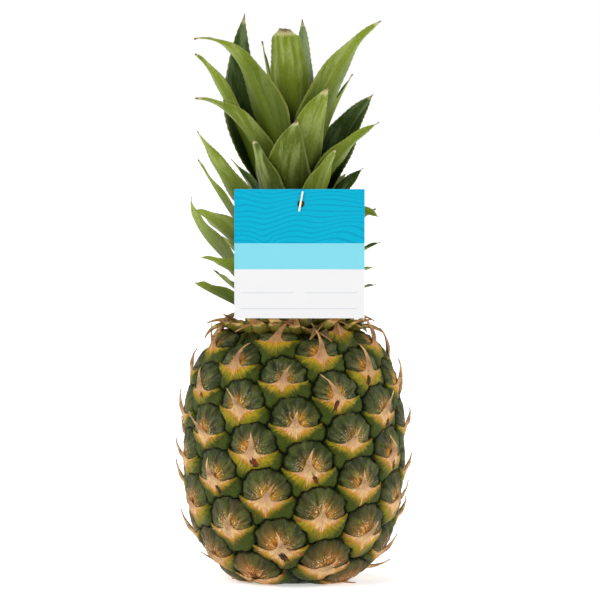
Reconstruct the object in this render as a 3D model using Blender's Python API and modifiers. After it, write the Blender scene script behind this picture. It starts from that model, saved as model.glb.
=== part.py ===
"""A whole pineapple standing on its base, with its crown of leaves and the card tag hung on it.

Metres, +Z up. The origin is the middle of the flat spot that the fruit stands on, the fruit's
axis and the crown's are +Z, and the tag faces -Y. An azimuth is measured about +Z from -Y, the
front, towards +X.
"""

import math
from collections import namedtuple

import bmesh
import bpy
from mathutils import Matrix, Vector

# ---------------------------------------------------------------- driving dimensions
GAP = 0.0003                # clearance between two pieces that touch

# The fruit is a barrel, a superellipse turned about Z, cut flat where it rests.
FRUIT_TOP = 0.137
GIRTH_RADIUS = 0.0575
GIRTH_HEIGHT = 0.0750
LOWER_REACH = 0.0765
UPPER_REACH = 0.0680
BARREL_POWER = 2.7
MERIDIAN_STEPS = 400

# The fruitlets wind up the barrel in one spiral, and are smaller towards the top.
FRUITLET_TURN = 137.91
FRUITLET_START = 137.0
FIRST_FRUITLET = 0.93
FRUITLET_AREA = 0.000674
AREA_SLOPE = -0.155
AREA_CURVE = -0.107
MIDDLE_HEIGHT = 0.070
FRUITLET_RISE = 0.0022      # how far a fruitlet swells out of the grooves round it
GROOVE_WIDTH = 0.0060
BRACT_OUT = 0.0035
BRACT_UP = 0.0040
PLAIN_END = 0.012           # no bract tip this near the foot or the top
FRUIT_COLUMNS = 60
FRUIT_RINGS = 38

# The crown's stem carries its leaves in one spiral, the youngest at the top.
STEM_FOOT = FRUIT_TOP + GAP
STEM_TOP = 0.2100
STEM_FOOT_RADIUS = 0.0140
STEM_TOP_RADIUS = 0.0030
STEM_SIDES = 24
LEAF_TURN = 137.5
LEAF_COUNT = 46
FIRST_LEAF_AZIMUTH = -2.0
TOP_LEAF_ROOT = 0.2060
LOWEST_LEAF_ROOT = 0.1410
LEAF_THICKNESS = 0.0010
LEAF_TIP_WIDTH = 0.0010
ROOT_WIDTH = 0.30           # a blade's width at its root as a share of its widest
ROOT_SHARE = 0.42           # how far up a blade it reaches its full width
TAPER_POWER = 0.85
LEAF_COLUMNS = 2
LEAF_ROWS = 9
LEAF_CHANNEL = 0.22         # depth of a blade's channel as a share of its half width
CHANNEL_SHARE = 0.40        # how far up a blade its channel reaches its full depth

# The tag is a square card with a punched hole. A plastic pin hangs it on one leaf: a bar lies
# across the hole in front, and a thread runs back from the bar's middle, through the leaf.
TAG_WIDTH = 0.0700
TAG_HEIGHT = 0.0694
TAG_THICKNESS = 0.0005
TAG_CENTRE_X = 0.0030
TAG_FOOT = 0.1463
TAG_FRONT = -0.0465
HOLE_X = 0.0038
HOLE_HEIGHT = 0.2078
HOLE_RADIUS = 0.0020
BAR_RADIUS = 0.00055
BAR_LENGTH = 0.0110
BAR_TILT = 10.8
THREAD_RADIUS = 0.00035
THREAD_HEIGHT = HOLE_HEIGHT + HOLE_RADIUS - THREAD_RADIUS - GAP
STOP_RADIUS = 0.0012
STOP_LENGTH = 0.0010
STOP_BEHIND_LEAF = 0.0022
PIERCED_LEAF = 13           # counted from the youngest
PIERCING_RADIUS = 0.0009
PIERCING_REACH = 0.0040
ROD_SIDES = 12
THREAD_SIDES = 8
HOLE_SIDES = 24
HALVINGS = 30               # how often a search for a point on the pierced leaf halves its range

# How the leaves change down the crown. A leaf's midrib leaves the stem at its root lean from
# upright and ends at its reach from the axis, its arch being how far it rises before it bends.
Habit = namedtuple("Habit", "share lean reach tip width arch")
HABITS = (
    Habit(0.00, 4.0, 0.016, 0.300, 0.025, 0.55),
    Habit(0.13, 8.0, 0.033, 0.285, 0.024, 0.55),
    Habit(0.27, 14.0, 0.042, 0.262, 0.021, 0.60),
    Habit(0.40, 22.0, 0.046, 0.238, 0.019, 0.60),
    Habit(0.53, 32.0, 0.048, 0.214, 0.017, 0.60),
    Habit(0.67, 42.0, 0.048, 0.192, 0.014, 0.60),
    Habit(0.80, 52.0, 0.048, 0.172, 0.012, 0.60),
    Habit(0.93, 60.0, 0.044, 0.157, 0.010, 0.60),
    Habit(1.00, 66.0, 0.040, 0.150, 0.009, 0.60),
)

# Leaves that differ from the habit, counted from the youngest. A swing turns the tip about Z,
# and a higher fullness keeps a blade wide nearer to its tip.
OWN_WAYS = {
    0: {"reach": 0.014, "tip": 0.302, "width": 0.025, "swing": -14.0, "fullness": 6.0},
    1: {"reach": 0.026, "tip": 0.307, "width": 0.019, "swing": 33.0},
    2: {"reach": 0.0175, "tip": 0.295, "width": 0.014},
    3: {"reach": 0.052, "tip": 0.306, "width": 0.020, "swing": 15.0, "arch": 0.75},
    4: {"reach": 0.021, "tip": 0.284, "width": 0.016},
    5: {"reach": 0.061, "tip": 0.296, "width": 0.024, "swing": -27.0, "arch": 1.0},
    6: {"reach": 0.033, "tip": 0.277, "width": 0.019},
    7: {"reach": 0.031, "tip": 0.310, "width": 0.022, "arch": 0.7},
    8: {"reach": 0.036, "tip": 0.271, "width": 0.019, "swing": 14.0, "fullness": 4.0},
    9: {"reach": 0.033, "tip": 0.287, "width": 0.016, "swing": -18.0},
    10: {"reach": 0.058, "tip": 0.264, "width": 0.019, "arch": 0.8},
    11: {"reach": 0.049, "tip": 0.251, "width": 0.016},
    13: {"lean": 20.0, "reach": 0.032, "tip": 0.253, "width": 0.023, "swing": 18.0, "fullness": 3.0},
    14: {"reach": 0.045, "tip": 0.266, "width": 0.020, "swing": -18.0},
    15: {"reach": 0.055, "tip": 0.288, "width": 0.015, "arch": 0.85},
    16: {"reach": 0.037, "tip": 0.237, "width": 0.015},
    18: {"reach": 0.030, "tip": 0.242, "width": 0.023, "fullness": 3.0},
    19: {"reach": 0.038, "tip": 0.226, "width": 0.016},
    21: {"reach": 0.040, "tip": 0.198},
    23: {"reach": 0.0535, "tip": 0.246, "width": 0.016},
    24: {"reach": 0.054, "tip": 0.200, "width": 0.014, "arch": 0.9},
    26: {"reach": 0.041, "tip": 0.200},
    28: {"reach": 0.057, "tip": 0.230, "width": 0.016},
    29: {"reach": 0.041, "tip": 0.190},
    31: {"reach": 0.058, "tip": 0.203, "width": 0.017, "swing": -12.0},
    34: {"reach": 0.040, "tip": 0.178},
    36: {"reach": 0.056, "tip": 0.210, "width": 0.015},
    37: {"reach": 0.050, "tip": 0.173, "swing": 15.0},
    39: {"reach": 0.056, "tip": 0.178, "swing": -25.0},
    42: {"reach": 0.040},
    44: {"reach": 0.056, "tip": 0.164},
}
FULLNESS = 2.2

LYING = Matrix.Rotation(math.radians(90.0), 4, "X")    # turns a rod along Z to lie along Y

Leaf = namedtuple("Leaf", "azimuth root lean reach tip width arch swing fullness")
Fruitlet = namedtuple("Fruitlet", "azimuth place radius")


# ---------------------------------------------------------------- helpers
def clear_scene():
    for old in list(bpy.data.objects):
        bpy.data.objects.remove(old, do_unlink=True)


def material(name, colour, roughness):
    made = bpy.data.materials.new(name)
    made.use_nodes = True
    shader = made.node_tree.nodes["Principled BSDF"]
    shader.inputs["Base Color"].default_value = (*colour, 1.0)
    shader.inputs["Roughness"].default_value = roughness
    shader.inputs["Metallic"].default_value = 0.0
    return made


def add_object(name, mesh, collection, finish=None):
    made = bpy.data.objects.new(name, mesh)
    collection.objects.link(made)
    if finish is not None:
        mesh.materials.append(finish)
    return made


def mesh_of(solid, name):
    mesh = bpy.data.meshes.new(name)
    solid.to_mesh(mesh)
    solid.free()
    mesh.shade_smooth()
    return mesh


def between(low, high, share):
    return low + (high - low) * share


def smooth_step(value):
    share = min(max(value, 0.0), 1.0)
    return share * share * (3.0 - 2.0 * share)


def at_azimuth(azimuth, radius, height):
    """The point at an azimuth in degrees, a radius from the axis and a height."""
    turn = math.radians(azimuth)
    return Vector((radius * math.sin(turn), -radius * math.cos(turn), height))


# ---------------------------------------------------------------- the fruit
def barrel_radius(height):
    reach = LOWER_REACH if height < GIRTH_HEIGHT else UPPER_REACH
    share = min(abs(height - GIRTH_HEIGHT) / reach, 1.0)
    return GIRTH_RADIUS * (1.0 - share**BARREL_POWER) ** (1.0 / BARREL_POWER)


def fruitlet_area(height):
    up = (height - MIDDLE_HEIGHT) / MIDDLE_HEIGHT
    return FRUITLET_AREA * (1.0 + AREA_SLOPE * up + AREA_CURVE * up * up)


def meridian():
    """Stations up the barrel's side: (radius, height, distance along it, fruitlets below it)."""
    stations = [(barrel_radius(0.0), 0.0, 0.0, 0.0)]
    for step in range(1, MERIDIAN_STEPS + 1):
        height = FRUIT_TOP * step / MERIDIAN_STEPS
        radius = barrel_radius(height)
        last_radius, last_height, last_place, last_count = stations[-1]
        run = math.hypot(radius - last_radius, height - last_height)
        band = math.pi * (radius + last_radius) * run
        stations.append((radius, height, last_place + run, last_count + band / fruitlet_area(height)))
    return stations


def station_where(stations, column, value):
    """The station at which one of its four columns reaches a value, interpolated."""
    for low, high in zip(stations, stations[1:]):
        if high[column] >= value:
            share = (value - low[column]) / max(high[column] - low[column], 1e-12)
            return tuple(between(a, b, share) for a, b in zip(low, high))
    return stations[-1]


def fruitlets(stations):
    """One spiral of fruitlets, evenly packed over the skin from the foot to the top."""
    found = []
    for number in range(int(stations[-1][3] - FIRST_FRUITLET) + 1):
        radius, _, place, _ = station_where(stations, 3, number + FIRST_FRUITLET)
        found.append(Fruitlet(FRUITLET_START + number * FRUITLET_TURN, place, radius))
    return found


def way_round(azimuth, other):
    """Degrees from one azimuth to another, from -180 to 180."""
    return (azimuth - other + 180.0) % 360.0 - 180.0


def swelling(azimuth, place, radius, all_fruitlets):
    """How far the skin stands out at a place: 0 in a groove, FRUITLET_RISE on a fruitlet."""
    distances = []
    for one in all_fruitlets:
        up = place - one.place
        across = math.radians(way_round(azimuth, one.azimuth)) * 0.5 * (radius + one.radius)
        distances.append(math.hypot(across, up))
    distances.sort()
    return FRUITLET_RISE * smooth_step((distances[1] - distances[0]) / GROOVE_WIDTH)


def fruit(collection):
    """The fruit: a ball whose rings are laid along the foot, up the barrel and over the top."""
    stations = meridian()
    all_fruitlets = fruitlets(stations)
    foot, side, top = stations[0][0], stations[-1][2], stations[-1][0]
    solid = bmesh.new()
    bmesh.ops.create_uvsphere(solid, u_segments=FRUIT_COLUMNS, v_segments=FRUIT_RINGS, radius=1.0)
    skin = []
    for vertex in solid.verts:
        azimuth = math.degrees(math.atan2(vertex.co.x, -vertex.co.y))
        share = math.acos(max(-1.0, min(1.0, -vertex.co.z))) / math.pi
        place = share * (foot + side + top) - foot
        if place <= 0.0:
            radius, height = foot + place, 0.0
        elif place >= side:
            radius, height = side + top - place, FRUIT_TOP
        else:
            radius, height, _, _ = station_where(stations, 2, place)
            rise = swelling(azimuth, place, radius, all_fruitlets)
            radius += rise * smooth_step(min(place, side - place) / PLAIN_END)
            skin.append((vertex, azimuth, place))
        vertex.co = at_azimuth(azimuth, max(radius, 0.0), height)
    draw_bracts(skin, all_fruitlets, side)
    finish = material("rind", (0.16, 0.20, 0.06), 0.55)
    return add_object("fruit", mesh_of(solid, "fruit"), collection, finish)


def draw_bracts(skin, all_fruitlets, side):
    """Pulls the skin's nearest point out into the bract tip of each fruitlet."""
    for one in all_fruitlets:
        if min(one.place, side - one.place) < PLAIN_END:
            continue
        nearest = min(
            skin,
            key=lambda entry: math.hypot(
                math.radians(way_round(entry[1], one.azimuth)) * one.radius,
                entry[2] - one.place,
            ),
        )[0]
        outward = Vector((nearest.co.x, nearest.co.y, 0.0)).normalized()
        nearest.co += outward * BRACT_OUT + Vector((0.0, 0.0, BRACT_UP))


# ---------------------------------------------------------------- the crown
def crown_stem(collection):
    solid = bmesh.new()
    height = STEM_TOP - STEM_FOOT
    bmesh.ops.create_cone(
        solid,
        cap_ends=True,
        segments=STEM_SIDES,
        radius1=STEM_FOOT_RADIUS,
        radius2=STEM_TOP_RADIUS,
        depth=height,
        matrix=Matrix.Translation((0.0, 0.0, STEM_FOOT + height / 2)),
    )
    finish = material("crown_stem", (0.45, 0.48, 0.22), 0.6)
    return add_object("crown_stem", mesh_of(solid, "crown_stem"), collection, finish)


def stem_radius(height):
    share = (height - STEM_FOOT) / (STEM_TOP - STEM_FOOT)
    return between(STEM_FOOT_RADIUS, STEM_TOP_RADIUS, min(max(share, 0.0), 1.0))


def habit_at(share):
    """The crown's habit at a share of the way down it."""
    for low, high in zip(HABITS, HABITS[1:]):
        if share <= high.share:
            part = (share - low.share) / (high.share - low.share)
            return Habit(*(between(a, b, part) for a, b in zip(low, high)))
    return HABITS[-1]


def crown_leaves():
    """Every leaf of the crown, from the youngest at the top to the lowest."""
    leaves = []
    for number in range(LEAF_COUNT):
        share = number / (LEAF_COUNT - 1)
        azimuth = way_round(FIRST_LEAF_AZIMUTH + number * LEAF_TURN, 0.0)
        root = between(TOP_LEAF_ROOT, LOWEST_LEAF_ROOT, share)
        habit = habit_at(share)
        leaf = Leaf(azimuth, root, *habit[1:], swing=0.0, fullness=FULLNESS)
        leaves.append(leaf._replace(**OWN_WAYS.get(number, {})))
    return leaves


def leaf_width(leaf, share):
    """The blade's width: narrow at the root, widest before the middle, then drawn to a point."""
    root = between(ROOT_WIDTH, 1.0, smooth_step(share / ROOT_SHARE))
    taper = max(1.0 - share**leaf.fullness, 0.0) ** TAPER_POWER
    return max(leaf.width * root * taper, LEAF_TIP_WIDTH)


def leaf_midrib(leaf, share):
    """The midrib's radius, height and lean in radians, a share of the way from root to tip."""
    start = Vector((stem_radius(leaf.root) + GAP + LEAF_THICKNESS, leaf.root))
    end = Vector((leaf.reach, leaf.tip))
    lean = math.radians(leaf.lean)
    bend = start + Vector((math.sin(lean), math.cos(lean))) * leaf.arch * (end - start).length
    point = start * (1.0 - share) ** 2 + bend * 2.0 * share * (1.0 - share) + end * share**2
    along = (bend - start) * (1.0 - share) + (end - bend) * share
    return point.x, point.y, math.atan2(along.x, along.y)


def blade_point(leaf, share, side):
    """A point of the blade, a share of the way up it, side running from -1 to 1 across it."""
    radius, height, lean = leaf_midrib(leaf, share)
    half_width = leaf_width(leaf, share) / 2
    channel = LEAF_CHANNEL * half_width * side * side * smooth_step(share / CHANNEL_SHARE)
    azimuth = leaf.azimuth + leaf.swing * share**2 + math.degrees(side * half_width / radius)
    return at_azimuth(
        azimuth,
        radius - math.cos(lean) * channel,
        height + math.sin(lean) * channel,
    )


def crown_leaf(name, leaf, collection, finish):
    """A grid bent along the midrib, its cross-section wrapped about the axis, then thickened."""
    blade = bmesh.new()
    bmesh.ops.create_grid(blade, x_segments=LEAF_COLUMNS, y_segments=LEAF_ROWS, size=0.5)
    for vertex in blade.verts:
        vertex.co = blade_point(leaf, vertex.co.y + 0.5, vertex.co.x * 2.0)
    made = add_object(name, mesh_of(blade, name), collection, finish)
    thicken = made.modifiers.new("thickness", "SOLIDIFY")
    thicken.thickness = LEAF_THICKNESS
    thicken.offset = 0.0
    return made


def crown(collection):
    finish = material("leaf", (0.12, 0.22, 0.05), 0.5)
    made = []
    for number, leaf in enumerate(crown_leaves()):
        made.append(crown_leaf(f"crown_leaf_{number + 1:02d}", leaf, collection, finish))
    return made


# ---------------------------------------------------------------- the tag
def rod(name, radius, length, centre, tilt, collection, sides=ROD_SIDES):
    """A round rod along Z, tilted, with its middle at centre."""
    solid = bmesh.new()
    bmesh.ops.create_cone(
        solid,
        cap_ends=True,
        segments=sides,
        radius1=radius,
        radius2=radius,
        depth=length,
        matrix=Matrix.Translation(centre) @ tilt,
    )
    return add_object(name, mesh_of(solid, name), collection)


def helper(tool):
    """Marks an object that only cuts or joins another."""
    tool.hide_render = True
    tool.display_type = "WIRE"
    return tool


def boolean(target, tool, operation):
    step = target.modifiers.new(tool.name, "BOOLEAN")
    step.operation = operation
    step.object = helper(tool)


def tag_card(collection, cutters):
    solid = bmesh.new()
    bmesh.ops.create_cube(solid, size=1.0)
    bmesh.ops.scale(solid, vec=(TAG_WIDTH, TAG_THICKNESS, TAG_HEIGHT), verts=solid.verts)
    centre = Vector((TAG_CENTRE_X, TAG_FRONT + TAG_THICKNESS / 2, TAG_FOOT + TAG_HEIGHT / 2))
    bmesh.ops.translate(solid, vec=centre, verts=solid.verts)
    mesh = mesh_of(solid, "tag_card")
    mesh.shade_flat()
    card = add_object("tag_card", mesh, collection, material("tag_card", (0.85, 0.90, 0.93), 0.6))
    hole = Vector((HOLE_X, TAG_FRONT, HOLE_HEIGHT))
    punch = rod("hole_punch", HOLE_RADIUS, 20 * TAG_THICKNESS, hole, LYING, cutters, sides=HOLE_SIDES)
    boolean(card, punch, "DIFFERENCE")
    return card


def solve(function, target, low, high):
    """Where a rising function reaches a target between two values."""
    for _ in range(HALVINGS):
        middle = (low + high) / 2
        if function(middle) < target:
            low = middle
        else:
            high = middle
    return (low + high) / 2


def place_on_thread(leaf):
    """The point of the pierced leaf's blade that the thread goes through."""

    def share_at(side):
        return solve(lambda share: blade_point(leaf, share, side).z, THREAD_HEIGHT, 0.0, 0.9)

    side = solve(lambda value: blade_point(leaf, share_at(value), value).x, HOLE_X, -1.0, 1.0)
    return blade_point(leaf, share_at(side), side)


def tag_pin(pierced, leaf, collection, cutters):
    """The pin: its bar in front of the card, its thread, and the stop behind the leaf."""
    piercing = place_on_thread(leaf)
    bore = rod("leaf_bore", PIERCING_RADIUS, 2 * PIERCING_REACH, piercing, LYING, cutters)
    boolean(pierced, bore, "DIFFERENCE")
    bar_y = TAG_FRONT - GAP - BAR_RADIUS
    stop_y = piercing.y + STOP_BEHIND_LEAF
    tilt = Matrix.Rotation(math.radians(BAR_TILT), 4, "Y")
    middle = Vector((HOLE_X, bar_y, THREAD_HEIGHT))
    pin = rod("tag_pin", BAR_RADIUS, BAR_LENGTH, middle, tilt, collection)
    pin.data.materials.append(material("tag_pin", (0.9, 0.9, 0.88), 0.35))
    thread_middle = Vector((HOLE_X, (bar_y + stop_y) / 2, THREAD_HEIGHT))
    thread = rod("thread", THREAD_RADIUS, stop_y - bar_y, thread_middle, LYING, cutters, sides=THREAD_SIDES)
    boolean(pin, thread, "UNION")
    stop_middle = Vector((HOLE_X, stop_y, THREAD_HEIGHT))
    stop = rod("stop", STOP_RADIUS, STOP_LENGTH, stop_middle, LYING, cutters)
    boolean(pin, stop, "UNION")
    return pin


def main():
    clear_scene()
    parts = bpy.data.collections.new("pineapple")
    cutters = bpy.data.collections.new("cutters")
    bpy.context.scene.collection.children.link(parts)
    bpy.context.scene.collection.children.link(cutters)
    fruit(parts)
    crown_stem(parts)
    leaves = crown(parts)
    tag_card(parts, cutters)
    tag_pin(leaves[PIERCED_LEAF], crown_leaves()[PIERCED_LEAF], parts, cutters)


main()
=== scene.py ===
"""A whole pineapple with its crown of leaves and a blank card tag, dressed for a studio picture.

Metres, +Z up, the tag facing -Y. An azimuth is measured about +Z from -Y towards +X. The barrel
and the spirals of fruitlets and leaves follow the fixed model's laws; the leaves' blades are
broader than their plain solids, rolled, and a few of them swung round the stem.
"""

import logging
import math
from dataclasses import dataclass, field, replace
from enum import Enum

import bmesh
import bpy
import numpy as np
from bpy.types import Material, Mesh, Node, NodeSocket, Object, SolidifyModifier
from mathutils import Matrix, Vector


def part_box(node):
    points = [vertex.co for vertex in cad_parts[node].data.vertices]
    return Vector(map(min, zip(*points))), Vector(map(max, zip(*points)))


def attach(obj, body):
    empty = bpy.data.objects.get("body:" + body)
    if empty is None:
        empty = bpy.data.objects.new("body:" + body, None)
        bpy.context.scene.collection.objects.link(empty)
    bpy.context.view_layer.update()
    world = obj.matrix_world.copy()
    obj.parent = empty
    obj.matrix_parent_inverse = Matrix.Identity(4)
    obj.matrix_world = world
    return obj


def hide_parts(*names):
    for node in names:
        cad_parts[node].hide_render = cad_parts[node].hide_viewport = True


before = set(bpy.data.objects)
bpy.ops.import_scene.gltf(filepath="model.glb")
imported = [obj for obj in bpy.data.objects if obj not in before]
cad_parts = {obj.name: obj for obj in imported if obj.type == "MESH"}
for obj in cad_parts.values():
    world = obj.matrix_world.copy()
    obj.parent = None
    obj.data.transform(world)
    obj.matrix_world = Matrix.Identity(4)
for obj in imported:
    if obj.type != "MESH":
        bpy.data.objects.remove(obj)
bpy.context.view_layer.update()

LOG = logging.getLogger("pineapple")
BODY = "root"
MM = 0.001
NUMBER_SPREAD = 40.0  # sets one fruitlet's noise and ripples apart from the next one's
LEAF_SPREAD = 50.0  # sets one leaf's noise apart from the next one's

Array = np.ndarray
Colour = tuple[float, float, float]


# ---------------------------------------------------------------- small tools
def rgb(red: int, green: int, blue: int) -> Colour:
    """A colour given as the eye sees it, 0 to 255, made linear."""
    return tuple((c / 255 / 12.92) if c <= 10 else ((c / 255 + 0.055) / 1.055) ** 2.4
                 for c in (red, green, blue))


def smooth_step(value: Array) -> Array:
    """Eases from 0 to 1 as value goes from 0 to 1."""
    share = np.clip(value, 0.0, 1.0)
    return share * share * (3.0 - 2.0 * share)


def bell(value: Array, width: float) -> Array:
    """A smooth bump, 1 at 0 and fading out over width."""
    return np.exp(-((value / width) ** 2))


def way_round(azimuth: Array) -> Array:
    """An angle in degrees brought within -180 to 180."""
    return (azimuth + 180.0) % 360.0 - 180.0


def at_azimuth(azimuth: Array, radius: Array, height: Array) -> Array:
    """Points at azimuths in degrees, radii from the axis and heights."""
    turn = np.radians(azimuth)
    return np.stack([radius * np.sin(turn), -radius * np.cos(turn), height], axis=-1)


def mesh_from(shape: bmesh.types.BMesh, name: str) -> Mesh:
    """Turns a bmesh into a mesh with smooth faces, and frees it.

    Args:
        shape: the bmesh.
        name: the mesh's name.

    Returns:
        The mesh.
    """
    mesh = bpy.data.meshes.new(name)
    shape.to_mesh(mesh)
    shape.free()
    mesh.shade_smooth()
    return mesh


def points_of(mesh: Mesh) -> Array:
    """The mesh's points.

    Args:
        mesh: the mesh.

    Returns:
        One row of x, y, z for each point.
    """
    flat = np.empty(len(mesh.vertices) * 3)
    mesh.vertices.foreach_get("co", flat)
    return flat.reshape(-1, 3)


def move_points(mesh: Mesh, points: Array) -> None:
    """Puts the mesh's points where the rows say."""
    mesh.vertices.foreach_set("co", points.astype(np.float32).ravel())
    mesh.update()


def grids(name: str, count: int, columns: int, rows: int) -> tuple[Mesh, Array, Array, Array]:
    """Makes flat grids in one mesh, to be moved into shape.

    Args:
        name: the mesh's name.
        count: how many grids.
        columns: faces across each.
        rows: faces up each.

    Returns:
        The mesh, and for each point its place across from -1 to 1, its place up from 0 to 1
        and the number of its grid.
    """
    shape = bmesh.new()
    for _ in range(count):
        bmesh.ops.create_grid(shape, x_segments=columns, y_segments=rows, size=1.0)
    mesh = mesh_from(shape, name)
    flat = points_of(mesh)
    return mesh, flat[:, 0], (flat[:, 1] + 1.0) / 2, np.repeat(np.arange(count), len(flat) // count)


def mark(mesh: Mesh, name: str, *values: Array | float) -> None:
    """Stores three numbers for each point, which the material reads by name.

    Args:
        mesh: the mesh.
        name: the name.
        values: the three numbers, each one for all points or one for each.
    """
    attribute = mesh.attributes.new(name, "FLOAT_VECTOR", "POINT")
    rows = np.stack(np.broadcast_arrays(*values), axis=-1)
    attribute.data.foreach_set("vector", rows.astype(np.float32).ravel())


def add_piece(name: str, mesh: Mesh, slot: str, *finishes: Material) -> Object:
    """Adds a piece of the object, which rides on its only body.

    Args:
        name: the piece's name.
        mesh: its shape, in place.
        slot: not used.
        finishes: its materials.

    Returns:
        The new object.
    """
    piece = bpy.data.objects.new(name, mesh)
    bpy.context.scene.collection.objects.link(piece)
    for finish in finishes:
        mesh.materials.append(finish)
    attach(piece, BODY)
    LOG.info("%s: %d faces", name, len(mesh.polygons))
    return piece


def thicken(piece: Object, thickness: float, offset: float = 0.0, backed: int = 1) -> SolidifyModifier:
    """Gives a blade its thickness.

    Args:
        piece: the open blade.
        thickness: how thick it gets.
        offset: -1 to grow backwards only, 0 to grow both ways.
        backed: 1 when its back has the second material, else 0.

    Returns:
        The modifier.
    """
    made = piece.modifiers.new("thickness", "SOLIDIFY")
    made.thickness, made.offset, made.material_offset = thickness, offset, backed
    return made


# ---------------------------------------------------------------- material nodes
class Value:
    """A number, place or colour that a material works out, with the usual sums."""

    def __init__(self, painter: "Painter", socket: NodeSocket) -> None:
        """Holds a socket of the painter's material."""
        self.painter, self.socket = painter, socket

    def __add__(self, other: object) -> "Value":
        """The sum."""
        return self.painter.maths("ADD", self, other)

    def __sub__(self, other: object) -> "Value":
        """The difference."""
        return self.painter.maths("SUBTRACT", self, other)

    def __rsub__(self, other: object) -> "Value":
        """The difference from a number."""
        return self.painter.maths("SUBTRACT", other, self)

    def __mul__(self, other: object) -> "Value":
        """The product."""
        return self.painter.maths("MULTIPLY", self, other)

    def __truediv__(self, other: object) -> "Value":
        """The quotient."""
        return self.painter.maths("DIVIDE", self, other)

    def __abs__(self) -> "Value":
        """The size without its sign."""
        return self.painter.maths("ABSOLUTE", self)

    def __gt__(self, other: object) -> "Value":
        """1 where this is greater, else 0."""
        return self.painter.maths("GREATER_THAN", self, other)

    def __lt__(self, other: object) -> "Value":
        """1 where this is less, else 0."""
        return self.painter.maths("LESS_THAN", self, other)


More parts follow.
